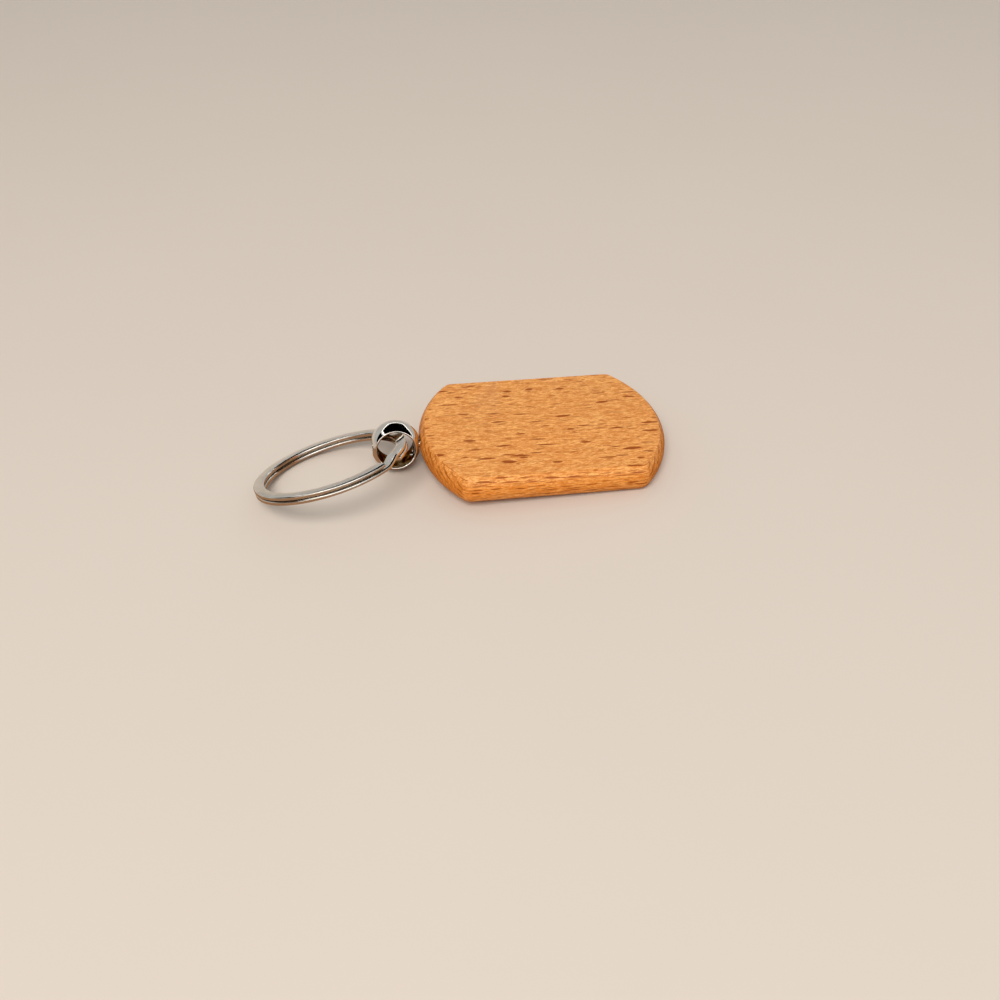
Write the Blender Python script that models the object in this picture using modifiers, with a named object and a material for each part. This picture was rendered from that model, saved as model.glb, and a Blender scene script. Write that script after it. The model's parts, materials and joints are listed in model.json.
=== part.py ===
"""Keychain: a beech fob, a swivel bead on a screw, and a split ring threaded through the bead.

Units are metres, +Z is up and the table is the plane z = 0. The keychain lies on the table: the fob
rests on the bottom edge of its far end and is lifted at the other by the bead, and the ring leans on
the table from inside the bead's bore.
"""

from math import asin, atan2, cos, hypot, pi, radians, sin, sqrt

import bmesh
import bpy
from mathutils import Matrix, Vector

# Fob: a flat plate with straight long sides and ends that are arcs.
FOB_LENGTH = 0.0495
FOB_WIDTH = 0.0356
FOB_THICKNESS = 0.0056
END_RADIUS = 0.0259  # of the arc that forms each end
CORNER_RADIUS = 0.0030  # where an end arc meets a long side
EDGE_INSET = 0.0013  # how far the flat faces stop short of the outline
EDGE_SWEEP = radians(60)  # part of an ellipse's quadrant that the rounded edge follows
ARC_STEPS = 16
CORNER_STEPS = 4
EDGE_STEPS = 5
PILOT_RADIUS = 0.00145
PILOT_DEPTH = 0.0138

# Bead: a ball with a wide cross bore for the ring and a hole at each end of its axis.
BEAD_RADIUS = 0.00495
BEAD_FLAT = 0.00445  # from the bead's centre to its flat, which faces the fob
BEAD_OPEN_END = 0.00458  # from the centre to the rim of the access hole
BEAD_STEPS = 40
BORE_RADIUS = 0.00372
BORE_LIP = 0.00040  # radius of the rounded lip at each mouth of the bore
SCREW_HOLE_RADIUS = 0.00135
ACCESS_HOLE_RADIUS = 0.00170
SPOT_FACE_RADIUS = 0.00245
SPOT_FACE_DEPTH = 0.00415  # from the bead's centre to the floor that the screw's head faces
BEAD_TO_FOB = 0.00472  # from the bead's centre to the fob's end
BEAD_SWIVEL = radians(11)  # about the screw, lifting the mouth that faces -Y
BEAD_LIFT = 0.0003  # clearance between the bead and the table

# Screw: holds the bead to the fob, with its head inside the bead.
HEAD_RADIUS = 0.00210
HEAD_HEIGHT = 0.00040
HEAD_GAP = 0.00015
SHANK_RADIUS = 0.00085
THREAD_RADIUS = 0.00110
THREAD_PITCH = 0.00090
THREAD_TURNS = 10
PLAIN_SHANK = 0.00260
TIP_LENGTH = 0.0018
SLOT_WIDTH = 0.00045
SLOT_LENGTH = 0.0024
SLOT_DEPTH = 0.00020

# Split ring: one flat wire wound for two turns that step from one layer to the other.
RING_RADIUS = 0.01531
WIRE_WIDTH = 0.00219
WIRE_HEIGHT = 0.00082
LAYER_PITCH = 0.00095
WIRE_CORNER = 0.00022
STEP_ANGLE = radians(14)  # over which the wire climbs from one layer to the other
END_GAP = radians(2)  # between the step and each end of the wire
STEP_HEADING = radians(-60)  # of the step, from the bead, as seen from above
TURN_STEPS = 60
RING_LEAN = radians(21.05)  # between the ring's plane and the table
LEAN_HEADING = radians(124.1)  # the way in which the ring slopes down
RING_FROM_BEAD = Vector((-0.01284, -0.00601))  # to the ring's centre, seen from above

# The origin is below the middle of the whole keychain. This is the fob's centre from there.
FOB_CENTRE_X = 0.01632
FOB_CENTRE_Y = 0.00151

MERGE = 0.00001
CLEAR_END = 0.002  # how far a cutter runs past the surface that it opens


def clear_scene():
    for obj in list(bpy.data.objects):
        bpy.data.objects.remove(obj, do_unlink=True)


def new_collection(name):
    collection = bpy.data.collections.new(name)
    bpy.context.scene.collection.children.link(collection)
    return collection


def new_material(name, colour, roughness, metallic):
    material = bpy.data.materials.new(name)
    material.use_nodes = True
    shader = material.node_tree.nodes["Principled BSDF"]
    shader.inputs["Base Color"].default_value = (*colour, 1.0)
    shader.inputs["Roughness"].default_value = roughness
    shader.inputs["Metallic"].default_value = metallic
    return material


def add_empty(name, parent, location, rotation=(0.0, 0.0, 0.0)):
    empty = bpy.data.objects.new(name, None)
    empty.empty_display_size = 0.005
    PARTS.objects.link(empty)
    empty.parent = parent
    empty.location = location
    empty.rotation_euler = rotation
    return empty


def add_mesh(name, bm, collection):
    mesh = bpy.data.meshes.new(name)
    bm.to_mesh(mesh)
    bm.free()
    obj = bpy.data.objects.new(name, mesh)
    collection.objects.link(obj)
    return obj


def turned(name, profile, steps, collection):
    """A profile of (radius, height) points, top to bottom, turned about the local Z axis."""
    bm = bmesh.new()
    points = [bm.verts.new((radius, 0.0, height)) for radius, height in profile]
    for first, second in zip(points, points[1:]):
        bm.edges.new((first, second))
    obj = add_mesh(name, bm, collection)
    screw = obj.modifiers.new("turn", "SCREW")
    screw.steps = steps
    screw.render_steps = steps
    screw.use_merge_vertices = True
    screw.merge_threshold = MERGE
    return obj


def cylinder_cutter(name, radius, start, end, steps, parent):
    """A cylinder along the parent's X axis, from start to end."""
    bm = bmesh.new()
    bmesh.ops.create_cone(
        bm,
        cap_ends=True,
        segments=steps,
        radius1=radius,
        radius2=radius,
        depth=end - start,
    )
    obj = add_mesh(name, bm, CUTTERS)
    obj.parent = parent
    obj.rotation_euler = (0.0, pi / 2, 0.0)
    obj.location = ((start + end) / 2, 0.0, 0.0)
    return obj


def box_cutter(name, size, centre, parent):
    bm = bmesh.new()
    bmesh.ops.create_cube(bm, size=1.0)
    bmesh.ops.scale(bm, vec=size, verts=bm.verts)
    obj = add_mesh(name, bm, CUTTERS)
    obj.parent = parent
    obj.location = centre
    return obj


def cut(obj, cutter):
    cutter.hide_render = True
    cutter.display_type = "WIRE"
    boolean = obj.modifiers.new("cut " + cutter.name, "BOOLEAN")
    boolean.operation = "DIFFERENCE"
    boolean.solver = "EXACT"
    boolean.object = cutter


def finish(obj, material, sharp_angle):
    obj.data.materials.append(material)
    obj.data.shade_smooth()
    obj.data.set_sharp_from_angle(angle=sharp_angle)


def arc(centre_x, centre_y, radius, start, end, steps):
    return [
        (
            centre_x + radius * cos(start + (end - start) * i / steps),
            centre_y + radius * sin(start + (end - start) * i / steps),
        )
        for i in range(steps + 1)
    ]


def fob_outline():
    """Half of the outline, the end at +X, then the same half turned round for the end at -X."""
    end_centre = FOB_LENGTH / 2 - END_RADIUS
    corner_y = FOB_WIDTH / 2 - CORNER_RADIUS
    corner_reach = END_RADIUS - CORNER_RADIUS
    corner_x = end_centre + sqrt(corner_reach**2 - corner_y**2)
    meeting = atan2(corner_y, corner_x - end_centre)
    lower = arc(corner_x, -corner_y, CORNER_RADIUS, -pi / 2, -meeting, CORNER_STEPS)
    end = arc(end_centre, 0.0, END_RADIUS, -meeting, meeting, ARC_STEPS)
    upper = arc(corner_x, corner_y, CORNER_RADIUS, meeting, pi / 2, CORNER_STEPS)
    half = lower + end[1:-1] + upper
    return half + [(-x, -y) for x, y in half]


def edge_profile():
    """(inset, height) of the rounded edge from the middle of the thickness up to the flat face."""
    reach = EDGE_INSET / (1 - cos(EDGE_SWEEP))
    rise = FOB_THICKNESS / 2 / sin(EDGE_SWEEP)
    angles = [EDGE_SWEEP * i / EDGE_STEPS for i in range(EDGE_STEPS + 1)]
    return [(reach * (1 - cos(a)), rise * sin(a)) for a in angles]


def make_fob(parent, material):
    """The upper half of the plate is raised from its outline, and Mirror adds the lower half."""
    bm = bmesh.new()
    top = bm.faces.new([bm.verts.new((x, y, 0.0)) for x, y in fob_outline()])
    profile = edge_profile()
    for (inset, height), (next_inset, next_height) in zip(profile, profile[1:]):
        bmesh.ops.inset_region(
            bm,
            faces=[top],
            thickness=next_inset - inset,
            use_boundary=True,
            use_even_offset=True,
        )
        bmesh.ops.translate(bm, vec=(0.0, 0.0, next_height - height), verts=top.verts)
    fob = add_mesh("wooden_fob", bm, PARTS)
    fob.parent = parent
    mirror = fob.modifiers.new("lower half", "MIRROR")
    mirror.use_axis = (False, False, True)
    mirror.merge_threshold = MERGE
    start = -FOB_LENGTH / 2 - CLEAR_END
    end = -FOB_LENGTH / 2 + PILOT_DEPTH
    cut(fob, cylinder_cutter("pilot_hole", PILOT_RADIUS, start, end, 24, parent))
    finish(fob, material, radians(25))
    return fob


def bead_profile():
    """The bead's outside from its flat at +X, the top of the profile, round to its open end."""
    flat_angle = asin(BEAD_FLAT / BEAD_RADIUS)
    open_angle = asin(BEAD_OPEN_END / BEAD_RADIUS)
    outside = arc(0.0, 0.0, BEAD_RADIUS, flat_angle, -open_angle, BEAD_STEPS // 2)
    return [(0.0, BEAD_FLAT)] + outside + [(0.0, -BEAD_OPEN_END)]


def bore_profile():
    """The cross bore as a solid: straight inside and flared by a rounded lip at each mouth."""
    mouth = sqrt(BEAD_RADIUS**2 - (BORE_RADIUS + BORE_LIP) ** 2)
    straight = mouth - BORE_LIP / 2
    end = BEAD_RADIUS + CLEAR_END
    flare = arc(BORE_RADIUS + BORE_LIP, straight, BORE_LIP, pi / 2, pi, 4)
    lower = [(radius, -height) for radius, height in reversed(flare)]
    wide = flare[0][0] + BORE_LIP
    flare = [(wide, flare[0][1] + BORE_LIP / 4)] + flare
    lower = lower + [(wide, lower[-1][1] - BORE_LIP / 4)]
    return [(0.0, end), (wide, end)] + flare + lower + [(wide, -end), (0.0, -end)]


def make_bead(axis, material):
    bead = turned("bead", bead_profile(), BEAD_STEPS, PARTS)
    bead.parent = axis
    bead.rotation_euler = (0.0, pi / 2, 0.0)
    bore = turned("cross_bore", bore_profile(), BEAD_STEPS, CUTTERS)
    bore.parent = axis
    bore.rotation_euler = (pi / 2, 0.0, 0.0)
    cut(bead, bore)
    screw_end = BEAD_FLAT + CLEAR_END
    cut(bead, cylinder_cutter("screw_hole", SCREW_HOLE_RADIUS, 0.0, screw_end, 24, axis))
    cut(bead, cylinder_cutter("spot_face", SPOT_FACE_RADIUS, 0.0, SPOT_FACE_DEPTH, 32, axis))
    open_start = -BEAD_RADIUS - CLEAR_END
    cut(bead, cylinder_cutter("access_hole", ACCESS_HOLE_RADIUS, open_start, 0.0, 24, axis))
    finish(bead, material, radians(30))
    return bead


def screw_profile():
    """The screw from the tip of its shank, the top of the profile, down to its domed head."""
    under_head = SPOT_FACE_DEPTH - HEAD_GAP
    thread_start = under_head + PLAIN_SHANK
    thread_end = thread_start + THREAD_PITCH * THREAD_TURNS
    profile = [(0.0, thread_end + TIP_LENGTH), (SHANK_RADIUS, thread_end)]
    for turn in range(THREAD_TURNS):
        crest = thread_end - THREAD_PITCH * (turn + 0.5)
        root = thread_end - THREAD_PITCH * (turn + 1)
        profile += [(THREAD_RADIUS, crest), (SHANK_RADIUS, root)]
    profile += [(SHANK_RADIUS, under_head), (HEAD_RADIUS, under_head)]
    dome_start = under_head - HEAD_HEIGHT / 3
    dome = HEAD_HEIGHT * 2 / 3
    profile += [
        (HEAD_RADIUS * cos(pi / 2 * i / 5), dome_start - dome * sin(pi / 2 * i / 5))
        for i in range(6)
    ]
    return profile


def make_screw(parent, bead_centre, material):
    """The screw's profile is measured from the bead's centre, towards the fob."""
    axis = add_empty("screw_axis", parent, bead_centre)
    screw = turned("bead_screw", screw_profile(), 24, PARTS)
    screw.parent = axis
    screw.rotation_euler = (0.0, pi / 2, 0.0)
    head_top = SPOT_FACE_DEPTH - HEAD_GAP - HEAD_HEIGHT
    centre = (head_top + SLOT_DEPTH - CLEAR_END / 2, 0.0, 0.0)
    for name, width, length in (
        ("recess_across", SLOT_WIDTH, SLOT_LENGTH),
        ("recess_along", SLOT_LENGTH, SLOT_WIDTH),
    ):
        cut(screw, box_cutter(name, (CLEAR_END, width, length), centre, axis))
    finish(screw, material, radians(30))
    return screw


def ring_point(angle, middle_radius):
    """A point of the wire's centre line: two flat layers and a smooth step between them."""
    along = min(max((angle + STEP_ANGLE / 2) / STEP_ANGLE, 0.0), 1.0)
    height = LAYER_PITCH * (along * along * (3 - 2 * along) - 0.5)
    return (middle_radius * cos(angle), middle_radius * sin(angle), height)


def wire_section():
    """The wire's section, a flat oblong with rounded corners, as a closed guide curve."""
    across = WIRE_HEIGHT / 2 - WIRE_CORNER
    along = WIRE_WIDTH / 2 - WIRE_CORNER
    points = []
    for x, y, start in (
        (along, across, 0.0),
        (-along, across, pi / 2),
        (-along, -across, pi),
        (along, -across, 3 * pi / 2),
    ):
        points += arc(x, y, WIRE_CORNER, start, start + pi / 2, 2)
    curve = bpy.data.curves.new("wire_section", "CURVE")
    curve.dimensions = "2D"
    spline = curve.splines.new("POLY")
    spline.points.add(len(points) - 1)
    spline.use_cyclic_u = True
    for point, (x, y) in zip(spline.points, reversed(points)):
        point.co = (x, y, 0.0, 1.0)
    guide = bpy.data.objects.new("wire_section", curve)
    CUTTERS.objects.link(guide)
    guide.hide_render = True
    return guide


def make_ring(parent, pose, material):
    start = -2 * pi + STEP_ANGLE / 2 + END_GAP
    end = 2 * pi - STEP_ANGLE / 2 - END_GAP
    count = round((end - start) / (2 * pi) * TURN_STEPS)
    curve = bpy.data.curves.new("split_ring", "CURVE")
    curve.dimensions = "3D"
    curve.twist_mode = "Z_UP"
    curve.bevel_mode = "OBJECT"
    curve.bevel_object = wire_section()
    curve.use_fill_caps = True
    spline = curve.splines.new("POLY")
    spline.points.add(count)
    middle_radius = RING_RADIUS - WIRE_WIDTH / 2
    for i, point in enumerate(spline.points):
        angle = start + (end - start) * i / count
        point.co = (*ring_point(angle, middle_radius), 1.0)
    ring = bpy.data.objects.new("split_ring", curve)
    PARTS.objects.link(ring)
    ring.parent = parent
    ring.matrix_parent_inverse = parent.matrix_world.inverted()
    ring.matrix_basis = pose
    curve.materials.append(material)
    for spline in curve.splines:
        spline.use_smooth = True
    return ring


def fob_seat():
    """(tilt, height) of the fob's centre, from its far edge and the bead both meeting the table."""
    far_edge = FOB_LENGTH / 2 - EDGE_INSET
    span = far_edge + FOB_LENGTH / 2 + BEAD_TO_FOB
    half = FOB_THICKNESS / 2
    tilt = asin((BEAD_RADIUS + BEAD_LIFT) / hypot(span, half)) - atan2(half, span)
    return tilt, far_edge * sin(tilt) + half * cos(tilt)


def ring_pose(bead_centre):
    """The ring's place: its lowest edge on the table, and its step near the bead's -Y mouth."""
    half_height = (LAYER_PITCH + WIRE_HEIGHT) / 2
    height = RING_RADIUS * sin(RING_LEAN) + half_height * cos(RING_LEAN)
    centre = Vector((bead_centre.x, bead_centre.y)) + RING_FROM_BEAD
    lean = Matrix.Rotation(RING_LEAN, 4, (-sin(LEAN_HEADING), cos(LEAN_HEADING), 0.0))
    bead_heading = atan2(-RING_FROM_BEAD.y, -RING_FROM_BEAD.x)
    turn = Matrix.Rotation(bead_heading + STEP_HEADING, 4, "Z")
    return Matrix.Translation((centre.x, centre.y, height)) @ lean @ turn


clear_scene()
PARTS = new_collection("keychain")
CUTTERS = new_collection("cutters")

beech = new_material("beech", (0.74, 0.34, 0.11), 0.38, 0.0)
plating = new_material("bead_plating", (0.78, 0.76, 0.72), 0.10, 1.0)
ring_steel = new_material("ring_plating", (0.74, 0.73, 0.70), 0.16, 1.0)
screw_steel = new_material("screw_steel", (0.62, 0.61, 0.58), 0.25, 1.0)

seat_tilt, seat_height = fob_seat()
seat = add_empty(
    "fob_seat", None, (FOB_CENTRE_X, FOB_CENTRE_Y, seat_height), (0.0, seat_tilt, 0.0)
)
bead_centre_in_fob = (-FOB_LENGTH / 2 - BEAD_TO_FOB, 0.0, 0.0)
swivel = add_empty("swivel_axis", seat, bead_centre_in_fob, (-BEAD_SWIVEL, 0.0, 0.0))
swing = add_empty("swing_axis", swivel, (0.0, 0.0, 0.0))
bpy.context.view_layer.update()

make_fob(seat, beech)
make_bead(swivel, plating)
make_screw(seat, bead_centre_in_fob, screw_steel)
make_ring(swing, ring_pose(swing.matrix_world.translation), ring_steel)
bpy.context.view_layer.update()
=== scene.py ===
"""Looks for the keychain: a varnished beech fob, a plated bead on its screw, and a split ring."""

import json
from math import atan2, cos, hypot, pi, radians, sin, sqrt

import bmesh
import bpy
from mathutils import Matrix, Vector, noise


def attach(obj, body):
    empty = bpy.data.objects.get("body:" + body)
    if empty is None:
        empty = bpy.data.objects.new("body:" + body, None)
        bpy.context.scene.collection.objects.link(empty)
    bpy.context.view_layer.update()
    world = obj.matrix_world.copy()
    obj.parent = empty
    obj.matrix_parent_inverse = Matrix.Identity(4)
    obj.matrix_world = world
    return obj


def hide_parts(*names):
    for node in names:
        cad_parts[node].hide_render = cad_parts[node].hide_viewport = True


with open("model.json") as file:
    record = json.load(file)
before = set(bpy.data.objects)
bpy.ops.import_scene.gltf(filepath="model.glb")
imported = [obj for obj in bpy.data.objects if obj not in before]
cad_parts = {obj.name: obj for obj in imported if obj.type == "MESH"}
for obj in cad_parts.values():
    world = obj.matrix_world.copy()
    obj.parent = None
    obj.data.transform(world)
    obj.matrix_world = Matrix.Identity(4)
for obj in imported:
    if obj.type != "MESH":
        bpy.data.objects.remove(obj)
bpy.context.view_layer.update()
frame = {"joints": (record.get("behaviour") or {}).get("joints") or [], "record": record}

MM = 0.001
WELD = 0.001 * MM  # points closer than this are one point
PAST = 2 * MM  # how far a cutter reaches past the surface it cuts
SHARP = radians(30)  # a fold sharper than this shows as an edge
THREAD_SHARP = radians(28)
WIRE_SHARP = radians(40)
OWN_MM = "own_mm"  # the attribute that holds a piece's own coordinates

# Fob, as in the CAD, with the flat faces' edges eased.
FOB_LENGTH = 49.5 * MM
FOB_WIDTH = 35.6 * MM
FOB_THICKNESS = 5.6 * MM
END_RADIUS = 25.9 * MM
CORNER_RADIUS = 3.0 * MM
EDGE_INSET = 1.3 * MM
EDGE_SWEEP = radians(60)
EASED = 0.13 * MM  # how far the eased edge reaches to each side of the flat face's rim
PILOT_RADIUS = 1.45 * MM
PILOT_DEPTH = 13.8 * MM
SANDED = 0.03 * MM  # how far hand sanding has worn the rounded edge
SANDED_PATCH = 3.5 * MM  # the size of a patch that sanding has worn

# Bead, as in the CAD, but for its flat, which reaches nearer to the fob.
BEAD_RADIUS = 4.95 * MM
BEAD_FLAT = 4.58 * MM
BEAD_OPEN_END = 4.58 * MM
BORE_RADIUS = 3.72 * MM
BORE_LIP = 0.24 * MM
SCREW_HOLE_RADIUS = 1.35 * MM
ACCESS_HOLE_RADIUS = 1.70 * MM
SPOT_FACE_RADIUS = 2.45 * MM
SPOT_FACE_DEPTH = 4.15 * MM
RIM_ROUND = 0.12 * MM

# Screw, measured from the bead's centre along the fob.
HEAD_RADIUS = 2.10 * MM
HEAD_HEIGHT = 0.40 * MM
HEAD_GAP = 0.15 * MM
SHANK_RADIUS = 0.85 * MM
THREAD_RADIUS = 1.10 * MM
THREAD_PITCH = 0.90 * MM
THREAD_TURNS = 10
THREAD_FLANK = 0.38  # how far each flank reaches from the crest, in pitches
PLAIN_SHANK = 2.60 * MM
TIP_LENGTH = 1.8 * MM
DOME_SHARE = 0.62  # the share of the head's height that is domed
HEAD_EDGE = 0.04 * MM
SHANK_FILLET = 0.08 * MM
RECESS_LENGTH = 2.4 * MM
RECESS_WIDTH = 0.45 * MM
RECESS_DEPTH = 0.20 * MM
RECESS_TURN = radians(20)
RECESS_MOUTH = 1.35  # the blade's size 1 mm above the recess's floor, against its plain size
RECESS_FLOOR = 0.85  # and at the floor

# Split ring, as in the CAD.
RING_RADIUS = 15.31 * MM
WIRE_WIDTH = 2.19 * MM
WIRE_HEIGHT = 0.82 * MM
LAYER_PITCH = 0.95 * MM
WIRE_CORNER = 0.26 * MM
POLISHED = 0.016 * MM  # how far polishing has taken the wire down on each side
STEP_ANGLE = radians(14)
END_GAP = radians(2)
STEP_HEADING = radians(-60)
RING_LEAN = radians(21.05)
LEAN_HEADING = radians(124.1)
RING_FROM_BEAD = Vector((-12.84 * MM, -6.01 * MM))
END_ROUND = 0.18 * MM  # rounding of the wire's cut ends

# How finely the round pieces are drawn.
BEAD_STEPS = 224
SCREW_STEPS = 72
THREAD_LEVELS = 16  # to a turn of the thread
WIRE_STEPS = 760


# ---- meshes -------------------------------------------------------------------------------


def arc(centre_x, centre_y, radius, start, end, steps):
    """Points along an arc, both ends among them."""
    return [
        (
            centre_x + radius * cos(start + (end - start) * i / steps),
            centre_y + radius * sin(start + (end - start) * i / steps),
        )
        for i in range(steps + 1)
    ]


def circle(radius, height, steps):
    """A level ring of points round the local Z axis."""
    return [
        (radius * cos(2 * pi * i / steps), radius * sin(2 * pi * i / steps), height)
        for i in range(steps)
    ]


def put(name, data):
    """A new object in the scene."""
    obj = bpy.data.objects.new(name, data)
    bpy.context.scene.collection.objects.link(obj)
    return obj


def skin(name, rows, place, material, loop=False):
    """A closed solid through rows of points, each row a closed loop.

    loop joins the last row to the first. Without it both ends are capped.
    """
    across = len(rows[0])
    points = [point for row in rows for point in row]
    faces = []
    for i in range(len(rows) if loop else len(rows) - 1):
        a, b = i * across, (i + 1) % len(rows) * across
        for j in range(across):
            k = (j + 1) % across
            faces.append((a + j, a + k, b + k, b + j))
    if not loop:
        faces.append(tuple(reversed(range(across))))
        faces.append(tuple(range(len(points) - across, len(points))))
    mesh = bpy.data.meshes.new(name)
    mesh.from_pydata(points, [], faces)
    mesh.materials.append(material)
    mesh.validate()
    obj = put(name, mesh)
    obj.matrix_world = place
    return obj


def turned(name, profile, steps, place, material, loop=False):
    """A profile of (radius, height) points turned about the local Z axis.

    Heights rise, unless loop closes the profile on itself.
    """
    return skin(name, [circle(r, z, steps) for r, z in profile], place, material, loop)


def weld(mesh):
    """Closes up the doubled points and the slivers that a cut leaves."""
    work = bmesh.new()
    work.from_mesh(mesh)
    bmesh.ops.remove_doubles(work, verts=work.verts, dist=WELD)
    many_sided = [face for face in work.faces if len(face.verts) > 4]
    bmesh.ops.triangulate(work, faces=many_sided)
    bmesh.ops.dissolve_degenerate(work, edges=work.edges, dist=WELD)
    work.to_mesh(mesh)
    work.free()


def cut(obj, cutter):
    """Takes cutter away from obj, and then removes cutter."""
    boolean = obj.modifiers.new("cut", "BOOLEAN")
    boolean.operation = "DIFFERENCE"
    boolean.solver = "EXACT"
    boolean.object = cutter
    graph = bpy.context.evaluated_depsgraph_get()
    mesh = bpy.data.meshes.new_from_object(obj.evaluated_get(graph))
    obj.modifiers.clear()
    weld(mesh)
    obj.data = mesh
    bpy.data.objects.remove(cutter, do_unlink=True)


def smooth(obj, sharp_angle=SHARP):
    """Shades a piece smoothly, but for its folds sharper than sharp_angle."""
    obj.data.shade_smooth()
    obj.data.set_sharp_from_angle(angle=sharp_angle)


def settle(obj):
    """Moves the place into the mesh, and keeps each point's own mm for the material."""
    mesh = obj.data
    own = mesh.attributes.new(OWN_MM, "FLOAT_VECTOR", "POINT")
    own.data.foreach_set("vector", [c / MM for v in mesh.vertices for c in v.co])
    mesh.transform(obj.matrix_world)
    obj.matrix_world = Matrix.Identity(4)


def fob_contour(inset):
    """The outline, moved in by inset all round: straight sides, corner arcs and end arcs."""
    end_centre = FOB_LENGTH / 2 - END_RADIUS
    corner_y = FOB_WIDTH / 2 - CORNER_RADIUS
    corner_reach = END_RADIUS - CORNER_RADIUS
    corner_x = end_centre + sqrt(corner_reach**2 - corner_y**2)
    meeting = atan2(corner_y, corner_x - end_centre)
    corner = CORNER_RADIUS - inset
    lower = arc(corner_x, -corner_y, corner, -pi / 2, -meeting, 18)
    end = arc(end_centre, 0.0, END_RADIUS - inset, -meeting, meeting, 110)
    upper = arc(corner_x, corner_y, corner, meeting, pi / 2, 18)
    side_y = FOB_WIDTH / 2 - inset
    side = [(corner_x * (1 - 2 * i / 60), side_y) for i in range(1, 60)]
    half = lower + end[1:-1] + upper + side
    return half + [(-x, -y) for x, y in half]


def fob_edge():
    """(inset, height) up the rounded edge from mid-thickness, over the eased rim."""
    reach = EDGE_INSET / (1 - cos(EDGE_SWEEP))
    rise = FOB_THICKNESS / 2 / sin(EDGE_SWEEP)
    steps = 22
    curve = [
        (reach * (1 - cos(EDGE_SWEEP * i / steps)), rise * sin(EDGE_SWEEP * i / steps))
        for i in range(steps + 1)
    ]
    rim = curve[-1]
    kept = [p for p in curve if hypot(rim[0] - p[0], rim[1] - p[1]) > EASED]
    first, last = kept[-1], (rim[0] + EASED, rim[1])
    eased = []
    for i in range(1, 9):
        t = i / 8
        eased.append(
            tuple(
                (1 - t) ** 2 * first[k] + 2 * t * (1 - t) * rim[k] + t * t * last[k]
                for k in (0, 1)
            )
        )
    return kept + eased


def make_fob(place, material):
    """The fob, worn a little by sanding round its edge, with its pilot hole."""
    edge = fob_edge()
    levels = [(inset, -height) for inset, height in reversed(edge[1:])] + edge
    rows = []
    for inset, height in levels:
        row = []
        for x, y in fob_contour(inset):
            spot = Vector((x, y, height)) / SANDED_PATCH
            wear = SANDED * max(0.0, 0.5 + noise.noise(spot))
            if inset >= EDGE_INSET + EASED:
                wear = 0.0
            shrink = 1 - wear / hypot(x, y)
            row.append((x * shrink, y * shrink, height))
        rows.append(row)
    fob = skin("fob_plate", rows, place, material)
    end = -FOB_LENGTH / 2
    bore = [(PILOT_RADIUS, end - PAST), (PILOT_RADIUS, end + PILOT_DEPTH)]
    along = place @ Matrix.Rotation(pi / 2, 4, "Y")
    cut(fob, turned("pilot", bore, 48, along, material))
    smooth(fob)
    return fob


def round_rim(radius, inner, outer, flare):
    """A cutter's (radius, height) profile: a straight hole, flared by a round rim at outer."""
    curve = [
        (radius + flare * (1 - cos(a)), outer - flare + flare * sin(a))
        for a in (pi / 2 * i / 6 for i in range(7))
    ]
    return [(radius, inner)] + curve + [(radius + flare, outer + PAST)]


def make_bead(place, material):
    """The ball and its bore, turned about the bore, with flats and holes on the screw's axis."""
    lip_radius = BORE_RADIUS + BORE_LIP
    reach = BEAD_RADIUS - BORE_LIP
    lip_height = sqrt(reach**2 - lip_radius**2)
    lip_angle = atan2(lip_height, lip_radius)
    outside = arc(0.0, 0.0, BEAD_RADIUS, -lip_angle, lip_angle, 72)
    upper = arc(lip_radius, lip_height, BORE_LIP, lip_angle, pi, 14)
    inside = [(BORE_RADIUS, lip_height * (1 - 2 * i / 24)) for i in range(1, 24)]
    lower = [(r, -z) for r, z in reversed(upper)]
    profile = outside + upper[1:] + inside + lower[:-1]
    bore_place = place @ Matrix.Rotation(-pi / 2, 4, "X")
    bead = turned("bead_shell", profile, BEAD_STEPS, bore_place, material, loop=True)
    to_fob = place @ Matrix.Rotation(pi / 2, 4, "Y")
    from_fob = place @ Matrix.Rotation(-pi / 2, 4, "Y")
    wide = 2 * BEAD_RADIUS
    fob_flat = [(wide, BEAD_FLAT), (wide, wide)]
    open_flat = [(wide, BEAD_OPEN_END), (wide, wide)]
    screw_hole = round_rim(SCREW_HOLE_RADIUS, 0.0, BEAD_FLAT, RIM_ROUND)
    spot_face = [(SPOT_FACE_RADIUS, 0.0), (SPOT_FACE_RADIUS, SPOT_FACE_DEPTH)]
    access = round_rim(ACCESS_HOLE_RADIUS, 0.0, BEAD_OPEN_END, RIM_ROUND)
    for name, cutter, steps, heading in (
        ("flat", fob_flat, 48, to_fob),
        ("open_flat", open_flat, 48, from_fob),
        ("screw_hole", screw_hole, 64, to_fob),
        ("spot_face", spot_face, 96, to_fob),
        ("access", access, 96, from_fob),
    ):
        cut(bead, turned(name, cutter, steps, heading, material))
    smooth(bead)
    return bead


def thread_growth(height, start, end):
    """How tall the thread is at a height, from 0 to 1: it runs out at both ends."""
    return max(0.0, min(1.0, (height - start) / THREAD_PITCH, (end - height) / THREAD_PITCH))


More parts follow.
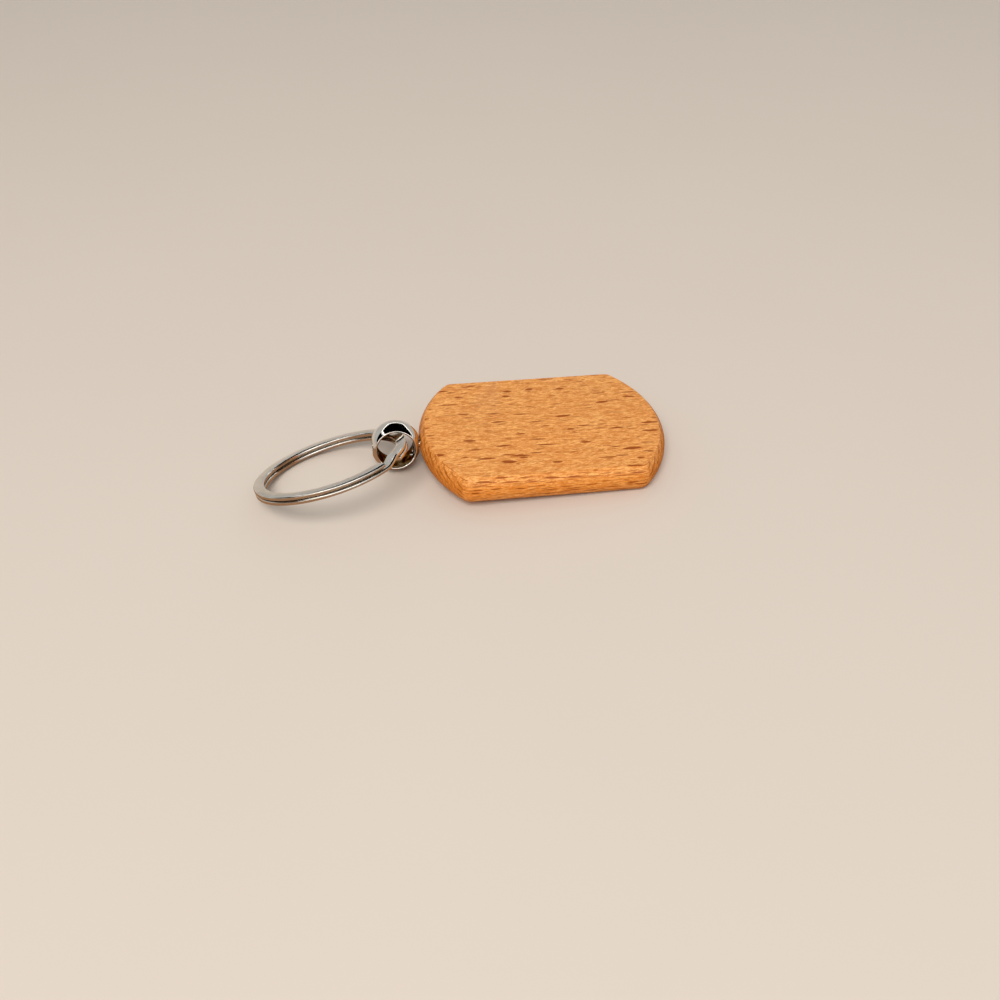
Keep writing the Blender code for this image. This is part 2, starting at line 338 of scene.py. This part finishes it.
def make_screw(place, material):
    """A pan head with a cross recess, a plain shank and a real helical thread.

    Heights run along the fob, from the bead's centre.
    """
    under_head = SPOT_FACE_DEPTH - HEAD_GAP
    top = under_head - HEAD_HEIGHT
    thread_start = under_head + PLAIN_SHANK
    thread_end = thread_start + THREAD_PITCH * THREAD_TURNS
    rows = []
    dome = HEAD_HEIGHT * DOME_SHARE
    for i in range(1, 15):
        a = pi / 2 * i / 14
        rows.append(circle(HEAD_RADIUS * sin(a), top + dome * (1 - cos(a)), SCREW_STEPS))
    for radius, height in (
        (HEAD_RADIUS, under_head - HEAD_EDGE),
        (HEAD_RADIUS - HEAD_EDGE, under_head),
        (SHANK_RADIUS + SHANK_FILLET, under_head),
        (SHANK_RADIUS, under_head + SHANK_FILLET),
        (SHANK_RADIUS, thread_start),
    ):
        rows.append(circle(radius, height, SCREW_STEPS))
    levels = THREAD_TURNS * THREAD_LEVELS
    for i in range(1, levels + 1):
        height = thread_start + (thread_end - thread_start) * i / levels
        grown = thread_growth(height, thread_start, thread_end)
        row = []
        for j in range(SCREW_STEPS):
            phase = (height / THREAD_PITCH - j / SCREW_STEPS) % 1.0
            crest = max(0.0, 1 - abs(phase - 0.5) / THREAD_FLANK)
            radius = SHANK_RADIUS + (THREAD_RADIUS - SHANK_RADIUS) * grown * crest
            turn = 2 * pi * j / SCREW_STEPS
            row.append((radius * cos(turn), radius * sin(turn), height))
        rows.append(row)
    for i in range(1, 9):
        t = i / 9
        radius = SHANK_RADIUS * (1 - t) ** 0.8
        rows.append(circle(radius, thread_end + TIP_LENGTH * t, SCREW_STEPS))
    along = place @ Matrix.Rotation(pi / 2, 4, "Y")
    screw = skin("screw_body", rows, along, material)
    for turn in (0.0, pi / 2):
        arm = along @ Matrix.Rotation(turn + RECESS_TURN, 4, "Z")
        cut(screw, recess_blade(top + RECESS_DEPTH, arm, material))
    smooth(screw, THREAD_SHARP)
    return screw


def recess_blade(floor, place, material):
    """One arm of the cross recess, narrower and shorter at its floor."""
    rows = []
    for height, grow in ((floor - 1 * MM, RECESS_MOUTH), (floor, RECESS_FLOOR)):
        x, y = RECESS_LENGTH * grow / 2, RECESS_WIDTH * grow / 2
        rows.append([(x, -y, height), (x, y, height), (-x, y, height), (-x, -y, height)])
    return skin("recess", rows, place, material)


def ring_layer(angle):
    """The height of the wire's centre line: two flat layers and a smooth step between them."""
    along = min(max((angle + STEP_ANGLE / 2) / STEP_ANGLE, 0.0), 1.0)
    return LAYER_PITCH * (along * along * (3 - 2 * along) - 0.5)


def wire_section(shrink):
    """The wire's oblong section with rounded corners, drawn in by shrink at the cut ends."""
    x = WIRE_WIDTH / 2 - POLISHED - WIRE_CORNER
    y = WIRE_HEIGHT / 2 - POLISHED - WIRE_CORNER
    points = []
    for i, (corner_x, corner_y) in enumerate(((x, y), (-x, y), (-x, -y), (x, -y))):
        start = pi / 2 * i
        points += arc(corner_x, corner_y, WIRE_CORNER - shrink, start, start + pi / 2, 7)
    return points


def make_ring(place, material):
    """Two turns of wire, with its two cut ends rounded."""
    start = -2 * pi + STEP_ANGLE / 2 + END_GAP
    end = 2 * pi - STEP_ANGLE / 2 - END_GAP
    rounding = END_ROUND / RING_RADIUS
    quarter = [pi / 2 * i / 5 for i in range(5)]
    first, last = start + rounding, end - rounding
    stations = [(start + rounding * (1 - cos(a)), END_ROUND * (1 - sin(a))) for a in quarter]
    stations += [
        (first + (last - first) * i / WIRE_STEPS, 0.0) for i in range(WIRE_STEPS + 1)
    ]
    stations += [
        (end - rounding * (1 - cos(a)), END_ROUND * (1 - sin(a))) for a in reversed(quarter)
    ]
    middle = RING_RADIUS - WIRE_WIDTH / 2
    rows = []
    for angle, shrink in stations:
        height = ring_layer(angle)
        rows.append(
            [
                ((middle + x) * cos(angle), (middle + x) * sin(angle), height - y)
                for x, y in wire_section(shrink)
            ]
        )
    ring = skin("ring_wire", rows, place, material)
    smooth(ring, WIRE_SHARP)
    return ring


# ---- materials ----------------------------------------------------------------------------

WHITE = (1.0, 1.0, 1.0, 1)

# Beech, from its body colour to its darkest marks, with a painted shade for its sides. Colours are
# linear.
WOOD_PALE = (0.90, 0.425, 0.122, 1)
WOOD_WARM = (0.82, 0.350, 0.090, 1)
FIBRE_PALE = (1.0, 0.52, 0.165, 1)
FIBRE_DARK = (0.60, 0.190, 0.030, 1)
HAIR_DARK = (0.54, 0.150, 0.018, 1)
PORE_DARK = (0.40, 0.10, 0.008, 1)
# painted shade: the deeper, darker tone of the fob's sides, where they turn away from the top
SIDE_SHADE_TINT = (0.66, 0.178, 0.003, 1)
END_TINT = (0.54, 0.140, 0.002, 1)
LATE_WOOD = (0.22, 0.044, 0.003, 1)
RAY_LINE = (0.30, 0.066, 0.004, 1)
FLECK_DARK = (0.29, 0.054, 0.001, 1)

RING_SPACING_MM = 0.95
PITH_MM = (9.0, -46.0)  # the growth rings' centre, across and above the fob's middle

# Flecks: (cell along and across, length, width), all in mm, then the share shown and a seed.
LARGE_FLECKS = ((5.7, 2.1), 3.7, 0.60, 0.68, 3.1)
SMALL_FLECKS = ((3.1, 1.05), 1.9, 0.34, 0.50, 11.3)
DASHES = ((4.2, 0.72), 4.2, 0.32, 0.95, 5.9)
THIN_DASHES = ((2.7, 0.40), 2.6, 0.15, 0.80, 8.3)

WOOD_RELIEF = 0.05 * MM
VARNISH_RELIEF = 0.2 * MM
PLATE_RELIEF = 0.02 * MM
TURNED_RELIEF = 0.03 * MM

# Metals: the two colours that polish drifts between.
BEAD_NICKEL = ((0.79, 0.755, 0.70, 1), (0.73, 0.69, 0.625, 1))
RING_NICKEL = ((0.77, 0.735, 0.68, 1), (0.68, 0.64, 0.575, 1))
STEEL = ((0.72, 0.70, 0.66, 1), (0.52, 0.50, 0.46, 1))
# painted shade: the inside of the bore darkened, mottled between two dark tones
BORE_PAINTED_SHADE = ((0.30, 0.21, 0.135, 1), (0.045, 0.030, 0.020, 1))
BORE_PAINTED_REFLECTION = (0.30, 0.22, 0.15, 1)  # painted reflection: a warm brown tint on the bore's reflections where they are seen at a low angle
BORE_EDGE_MM = (0.02, 0.14)  # how far outside the bore's wall the painted shade begins to fade, and ends


class Graph:
    """A material's node tree, built a line at a time. Numbers go on sockets, results are linked."""

    def __init__(self, name):
        self.material = bpy.data.materials.new(name)
        self.material.use_nodes = True
        self.tree = self.material.node_tree
        self.shader = self.tree.nodes["Principled BSDF"]

    def add(self, kind, inputs=(), **settings):
        node = self.tree.nodes.new("ShaderNode" + kind)
        for name, value in settings.items():
            setattr(node, name, value)
        for socket, value in dict(inputs).items():
            self.feed(node.inputs[socket], value)
        return node

    def feed(self, socket, value):
        if isinstance(value, bpy.types.NodeSocket):
            self.tree.links.new(value, socket)
        else:
            socket.default_value = value

    def set(self, **values):
        for name, value in values.items():
            self.feed(self.shader.inputs[name.replace("_", " ")], value)

    def own_mm(self):
        return self.add("Attribute", attribute_name=OWN_MM).outputs["Vector"]

    def math(self, operation, *values, clamp=False):
        node = self.add("Math", enumerate(values), operation=operation, use_clamp=clamp)
        return node.outputs[0]

    def hypot(self, x, y):
        return self.math("SQRT", self.math("MULTIPLY_ADD", x, x, self.math("MULTIPLY", y, y)))

    def vector(self, operation, *values):
        return self.add("VectorMath", enumerate(values), operation=operation).outputs[0]

    def split(self, vector):
        return self.add("SeparateXYZ", {0: vector}).outputs

    def join(self, x, y, z):
        return self.add("CombineXYZ", {0: x, 1: y, 2: z}).outputs[0]

    def noise(self, vector, scale, detail=3.0, roughness=0.5):
        """Cloudy noise. scale is how many features go to a mm, alike or along each axis."""
        if isinstance(scale, tuple):
            vector, scale = self.vector("MULTIPLY", vector, scale), 1.0
        inputs = {"Vector": vector, "Scale": scale, "Detail": detail, "Roughness": roughness}
        return self.add("TexNoise", inputs).outputs["Fac"]

    def ramp(self, value, low, high, bottom, top, kind):
        ends = {"From Min": low, "From Max": high, "To Min": bottom, "To Max": top}
        node = self.add("MapRange", {"Value": value, **ends}, interpolation_type=kind)
        return node.outputs["Result"]

    def step(self, value, low, high):
        """0 at low, 1 at high, and a smooth change between them."""
        return self.ramp(value, low, high, 0.0, 1.0, "SMOOTHSTEP")

    def mix(self, factor, a, b):
        node = self.add("Mix", {"Factor": factor}, data_type="RGBA")
        self.feed(node.inputs[6], a)
        self.feed(node.inputs[7], b)
        return node.outputs[2]

    def bump(self, height, strength, distance):
        inputs = {"Height": height, "Strength": strength, "Distance": distance}
        return self.add("Bump", inputs).outputs["Normal"]


def flecks(g, across, along, kind):
    """Lens-shaped flecks, at most one to a cell: 1 at the middle of each, 0 outside."""
    cell, length, width, share, seed = kind
    spot = g.join(
        g.math("MULTIPLY_ADD", along, 1 / cell[0], seed),
        g.math("MULTIPLY_ADD", across, 1 / cell[1], seed * 1.7),
        0.0,
    )
    cells = {"Vector": spot, "Scale": 1.0, "Randomness": 1.0}
    voronoi = g.add("TexVoronoi", cells, voronoi_dimensions="2D", feature="F1")
    away = g.split(g.vector("SUBTRACT", spot, voronoi.outputs["Position"]))
    chance = g.add("SeparateColor", {0: voronoi.outputs["Color"]}).outputs
    long = g.math("MULTIPLY_ADD", chance[0], 0.75, 0.45)
    wide = g.math("MULTIPLY_ADD", chance[1], 0.7, 0.55)
    x = g.math("DIVIDE", away[0], g.math("MULTIPLY", long, length / 2 / cell[0]))
    y = g.math("ABSOLUTE", away[1])
    y = g.math("DIVIDE", y, g.math("MULTIPLY", wide, width / 2 / cell[1]))
    lens = g.math("SUBTRACT", g.math("SUBTRACT", 1.0, g.math("MULTIPLY", x, x)), y)
    shown = g.step(chance[2], 1 - share, 1 - share * 0.35)
    return g.math("MULTIPLY", g.step(lens, -0.02, 0.18), shown, clamp=True)


def beech():
    """Tangentially cut beech under satin varnish, as one solid texture in the fob's own axes."""
    g = Graph("beech_varnished")
    mm = g.own_mm()
    facing = g.split(g.vector("ABSOLUTE", g.add("TexCoord").outputs["Normal"]))
    top = g.step(facing[2], 0.78, 0.97)
    end = g.math("MULTIPLY", g.step(facing[0], 0.35, 0.85), g.math("SUBTRACT", 1.0, top))
    side = g.math("SUBTRACT", g.math("SUBTRACT", 1.0, top), end, clamp=True)
    # painted shade on the sides, strongest where they stand upright
    side_shade = g.step(facing[2], 0.72, 0.05)

    # the grain wanders a little across and up as it runs along the fob
    wander = g.noise(mm, (0.05, 0.16, 0.16), 2.0)
    ripple = g.noise(mm, (0.22, 0.8, 0.8), 2.0)
    x, y, z = g.split(mm)
    shift = g.math("MULTIPLY_ADD", wander, 2.4, g.math("MULTIPLY", ripple, 0.35))
    y = g.math("ADD", y, shift)
    z = g.math("MULTIPLY_ADD", shift, 0.5, z)
    grain = g.join(x, y, z)

    streak = g.noise(grain, (0.03, 0.50, 0.50), 3.0, 0.55)
    fibre = g.noise(grain, (0.48, 1.9, 1.9), 4.0, 0.66)
    hair = g.noise(grain, (1.3, 5.6, 5.6), 3.0, 0.66)
    pores = g.step(g.noise(grain, (0.75, 7.0, 7.0), 2.0), 0.56, 0.68)
    rays = g.step(g.noise(grain, (0.0, 2.6, 0.30)), 0.50, 0.60)
    rays = g.math("MULTIPLY", rays, end)

    # growth rings, whose late wood is dark where a streak lets it show
    radius = g.hypot(g.math("ADD", z, -PITH_MM[1]), g.math("ADD", y, -PITH_MM[0]))
    uneven = g.math("MULTIPLY", ripple, 0.9)
    rings = g.math("FRACT", g.math("MULTIPLY_ADD", radius, 1 / RING_SPACING_MM, uneven))
    late = g.math("MULTIPLY", g.step(rings, 0.55, 0.85), g.step(rings, 1.0, 0.975))
    late = g.math("MULTIPLY", late, g.step(streak, 0.62, 0.46))

    large = flecks(g, y, x, LARGE_FLECKS)
    small = flecks(g, y, x, SMALL_FLECKS)
    on_top = g.math("MAXIMUM", large, g.math("MULTIPLY", small, 0.62))
    dashes = flecks(g, z, x, DASHES)
    thin = flecks(g, z, x, THIN_DASHES)
    on_side = g.math("MULTIPLY", dashes, 0.95)
    on_side = g.math("MAXIMUM", on_side, g.math("MULTIPLY", thin, 0.85))
    fleck = g.math("MULTIPLY_ADD", on_top, top, g.math("MULTIPLY", on_side, side))

    colour = g.mix(g.step(streak, 0.25, 0.75), WOOD_PALE, WOOD_WARM)
    # each layer is a mark of the grain, but for the painted shade on the sides
    for mark_and_shade, strength, shade in (
        (g.step(fibre, 0.50, 0.36), 0.66, FIBRE_PALE),
        (g.step(fibre, 0.47, 0.62), 0.66, FIBRE_DARK),
        (g.step(hair, 0.45, 0.59), 0.64, HAIR_DARK),
        (pores, 0.36, PORE_DARK),
        # painted shade on the sides
        (side_shade, 0.40, SIDE_SHADE_TINT),
        (late, g.math("MULTIPLY_ADD", end, 0.92, 0.06), LATE_WOOD),
        (rays, 0.50, RAY_LINE),
        (end, 0.38, END_TINT),
        (fleck, 0.94, FLECK_DARK),
    ):
        colour = g.mix(g.math("MULTIPLY", mark_and_shade, strength), colour, shade)

    cloud = g.noise(mm, (0.12, 0.12, 0.12))
    roughness = g.math("MULTIPLY_ADD", cloud, 0.14, 0.36)
    roughness = g.math("MULTIPLY_ADD", fibre, 0.12, roughness)
    relief = g.math("MULTIPLY_ADD", fibre, -0.5, g.math("MULTIPLY", fleck, -0.5))
    relief = g.math("MULTIPLY_ADD", pores, -0.35, relief)
    g.set(Base_Color=colour, Roughness=roughness, Normal=g.bump(relief, 0.35, WOOD_RELIEF))
    g.set(Specular_IOR_Level=0.08, Coat_Weight=0.10, Coat_Roughness=0.14, Coat_IOR=1.5)
    g.set(Coat_Normal=g.bump(g.noise(mm, 0.9, 2.0), 0.12, VARNISH_RELIEF))
    return g.material


def plating(name, nickel, rough_low, rough_high, ring=False, bore_mm=None):
    """Polished nickel plate: faint cloudy polish, fine scratches, and lines left by the maker.

    On the ring the lines run along the wire. With bore_mm the plate is dull inside it and darkened
    there with painted shade, and its reflections there get a painted warm tint.
    """
    g = Graph(name)
    mm = g.own_mm()
    x, y, z = g.split(mm)
    radius = g.hypot(x, y)
    if ring:
        turn = g.math("MULTIPLY", g.math("ARCTAN2", y, x), RING_RADIUS / MM)
        lines = g.noise(g.join(turn, radius, z), (0.12, 9.0, 9.0), 4.0, 0.65)
    else:
        lines = g.noise(mm, (5.0, 0.6, 5.0), 4.0, 0.6)
    cloud = g.noise(mm, 0.45)
    cells = {"Vector": g.vector("MULTIPLY", mm, (0.7, 1.1, 0.9)), "Scale": 1.0}
    rubbed = g.add("TexVoronoi", cells, feature="DISTANCE_TO_EDGE")
    scratch = g.step(rubbed.outputs["Distance"], 0.018, 0.0)
    scratch = g.math("MULTIPLY", scratch, g.step(g.noise(mm, 1.3, 2.0), 0.5, 0.62))
    colour = g.mix(g.step(cloud, 0.3, 0.7), *nickel)
    worn = g.math("MULTIPLY_ADD", lines, 0.5, g.math("MULTIPLY", cloud, 0.5))
    roughness = g.ramp(worn, 0.35, 0.65, rough_low, rough_high, "LINEAR")
    roughness = g.math("MULTIPLY_ADD", scratch, 0.05, roughness)
    relief = g.math("MULTIPLY_ADD", scratch, -0.2, g.math("MULTIPLY", lines, 0.35))
    if bore_mm:
        inside = g.step(radius, bore_mm + BORE_EDGE_MM[1], bore_mm + BORE_EDGE_MM[0])
        # painted shade inside the bore, mottled
        shade_mottle = g.step(g.noise(mm, 0.9), 0.35, 0.65)
        colour = g.mix(inside, colour, g.mix(shade_mottle, *BORE_PAINTED_SHADE))
        roughness = g.math("MULTIPLY_ADD", inside, 0.12, roughness)
        # painted reflection: a warm tint on the reflections inside the bore
        g.set(Specular_Tint=g.mix(inside, WHITE, BORE_PAINTED_REFLECTION))
    g.set(Base_Color=colour, Roughness=roughness, Metallic=1.0)
    g.set(Normal=g.bump(relief, 0.10, PLATE_RELIEF))
    return g.material


def steel():
    """The screw's plain steel, with turning marks round its axis."""
    g = Graph("screw_steel")
    mm = g.own_mm()
    x, y, z = g.split(mm)
    marks = g.noise(g.join(g.hypot(x, y), z, 0.0), (9.0, 9.0, 0.0))
    g.set(
        Base_Color=g.mix(g.noise(mm, 1.2), *STEEL),
        Roughness=g.math("MULTIPLY_ADD", marks, 0.25, 0.12),
        Normal=g.bump(marks, 0.2, TURNED_RELIEF),
        Metallic=1.0,
    )
    return g.material


# ---- the keychain -------------------------------------------------------------------------

face, back_face = frame["record"]["mounts"]
swivel, swing = frame["joints"]


def axes(origin, x, y):
    """A placing matrix with these X and Y directions."""
    x, y = Vector(x).normalized(), Vector(y).normalized()
    return Matrix.Translation(origin) @ Matrix((x, y, x.cross(y))).transposed().to_4x4()


fob_middle = (Vector(face["pos_m"]) + Vector(back_face["pos_m"])) / 2
fob_along = Vector(swivel["axis"])
fob_across = Vector(face["axis"]).cross(fob_along)
bead_middle = Vector(swing["pos_m"])
fob_place = axes(fob_middle, fob_along, fob_across)
bead_place = axes(bead_middle, fob_along, swing["axis"])
screw_place = axes(bead_middle, fob_along, fob_across)

half_height = (LAYER_PITCH + WIRE_HEIGHT) / 2
ring_height = RING_RADIUS * sin(RING_LEAN) + half_height * cos(RING_LEAN)
ring_middle = bead_middle.xy + RING_FROM_BEAD
lean = Matrix.Rotation(RING_LEAN, 4, (-sin(LEAN_HEADING), cos(LEAN_HEADING), 0.0))
to_bead = atan2(-RING_FROM_BEAD.y, -RING_FROM_BEAD.x)
turn = Matrix.Rotation(to_bead + STEP_HEADING, 4, "Z")
ring_place = Matrix.Translation((ring_middle.x, ring_middle.y, ring_height)) @ lean @ turn

bead_nickel = plating("bead_nickel", BEAD_NICKEL, 0.03, 0.07, bore_mm=BORE_RADIUS / MM)
ring_nickel = plating("ring_nickel", RING_NICKEL, 0.06, 0.14, ring=True)

for piece, body, node, slot in (
    (make_fob(fob_place, beech()), "fob", "wooden_fob", "beech"),
    (make_screw(screw_place, steel()), "fob", "bead_screw", "screw_steel"),
    (make_bead(bead_place, bead_nickel), "bead", "bead", "bead_plating"),
    (make_ring(ring_place, ring_nickel), "ring", "split_ring", "ring_plating"),
):
    settle(piece)
    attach(piece, body)
    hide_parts(node)


# ---- stage, light and camera --------------------------------------------------------------

FLOOR = ((-3.0, -3.0), (3.0, -3.0), (3.0, 3.0), (-3.0, 3.0))
FLOOR_PAPER = ((0.66, 0.575, 0.50, 1), (0.64, 0.555, 0.48, 1))
ROOM_COLOUR = (0.93, 0.93, 0.91, 1)
ROOM_STRENGTH = 0.56
KEY_PLACE = (-0.20, -0.62, 0.80)
KEY_SIZE = (0.55, 0.40)
KEY_POWER = 8.2
KEY_COLOUR = (1.0, 0.985, 0.96)

BLACK = (0.0, 0.0, 0.0)
BRIGHT = (1.0, 1.0, 1.0)
FRAME_GLOW = 1.6
STRIP_GLOW = 2.0

# What the plated metal mirrors: a dark ceiling opening with a bright frame, a dark opening at
# the side, a bright strip in front, and warm ground. Corners are in metres, seen from above.
OPENING_HEIGHT = 0.50
BEHIND_OPENING = 0.01
OPENING = (
    (-0.17, 1.00), (0.50, 1.22), (0.68, 0.62), (3.2, 0.75), (3.2, -0.80),
    (-0.12, -0.80), (-0.34, -0.10), (-0.50, 0.48), (-0.30, 0.68),
)
FRAME = (
    (-0.24, 1.22), (0.62, 1.50), (0.82, 0.78), (3.3, 0.95), (3.3, -0.88),
    (-0.20, -0.88), (-0.44, -0.12), (-0.60, 0.50), (-0.38, 0.76),
)
SIDE_OPENING = ((-0.70, 0.52), (-0.52, 0.00), (-0.60, -0.60), (-3.4, -1.6), (-3.4, 1.10))
FRONT_STRIP = ((-2.2, -0.90), (2.2, -0.90), (2.2, -3.60), (-2.2, -3.60))
GROUND = [
    (0.01 + 0.30 * cos(2 * pi * i / 24), -0.24 + 0.255 * sin(2 * pi * i / 24)) for i in range(24)
]
GROUND_HEIGHT = 0.02 * MM
GROUND_COLOUR = (0.36, 0.20, 0.11)

LENS_MM = 40.5
SENSOR_MM = 36.0
NEAREST, FARTHEST = 0.01, 20.0
CAMERA_PLACE = (-0.01721, -0.18141, 0.13557)
CAMERA_TURN = (radians(51.373), radians(1.430), radians(-8.830))


def flat(name, corners, height, material):
    """A level sheet on the stage, with these corners."""
    mesh = bpy.data.meshes.new(name)
    mesh.from_pydata([(x, y, height) for x, y in corners], [], [range(len(corners))])
    mesh.materials.append(material)
    sheet = put(name, mesh)
    return sheet


def card(name, corners, height, colour, strength):
    """A level card that only reflections see: it neither lights nor shades the keychain."""
    g = Graph(name)
    g.set(Base_Color=(*colour, 1), Roughness=1.0, Specular_IOR_Level=0.0)
    g.set(Emission_Color=(*colour, 1), Emission_Strength=strength)
    sheet = flat(name, corners, height, g.material)
    sheet.visible_camera = False
    sheet.visible_diffuse = False
    sheet.visible_shadow = False


paper = Graph("floor_paper")
mottle = paper.noise(paper.add("TexCoord").outputs["Object"], 14.0)
paper.set(Base_Color=paper.mix(mottle, *FLOOR_PAPER), Roughness=0.75, Specular_IOR_Level=0.2)
flat("floor", FLOOR, 0.0, paper.material)

world = bpy.data.worlds.new("studio")
bpy.context.scene.world = world
world.use_nodes = True
background = world.node_tree.nodes["Background"]
background.inputs["Color"].default_value = ROOM_COLOUR
background.inputs["Strength"].default_value = ROOM_STRENGTH

light = bpy.data.lights.new("key", "AREA")
light.shape = "RECTANGLE"
light.size, light.size_y = KEY_SIZE
light.energy = KEY_POWER
light.color = KEY_COLOUR
key = put("key", light)
key.location = KEY_PLACE
key.rotation_mode = "QUATERNION"
key.rotation_quaternion = (-Vector(KEY_PLACE)).to_track_quat("-Z", "Y")

card("dark_opening", OPENING, OPENING_HEIGHT, BLACK, 0.0)
card("dark_side", SIDE_OPENING, OPENING_HEIGHT, BLACK, 0.0)
card("bright_frame", FRAME, OPENING_HEIGHT + BEHIND_OPENING, BRIGHT, FRAME_GLOW)
card("front_strip", FRONT_STRIP, OPENING_HEIGHT, BRIGHT, STRIP_GLOW)
card("warm_ground", GROUND, GROUND_HEIGHT, GROUND_COLOUR, 0.0)

camera_data = bpy.data.cameras.new("camera")
camera_data.lens = LENS_MM
camera_data.sensor_width = SENSOR_MM
camera_data.clip_start = NEAREST
camera_data.clip_end = FARTHEST
camera = put("camera", camera_data)
camera.location = CAMERA_PLACE
camera.rotation_euler = CAMERA_TURN
bpy.context.scene.camera = camera
bpy.context.scene.view_settings.view_transform = "Standard"
bpy.context.scene.view_settings.look = "None"
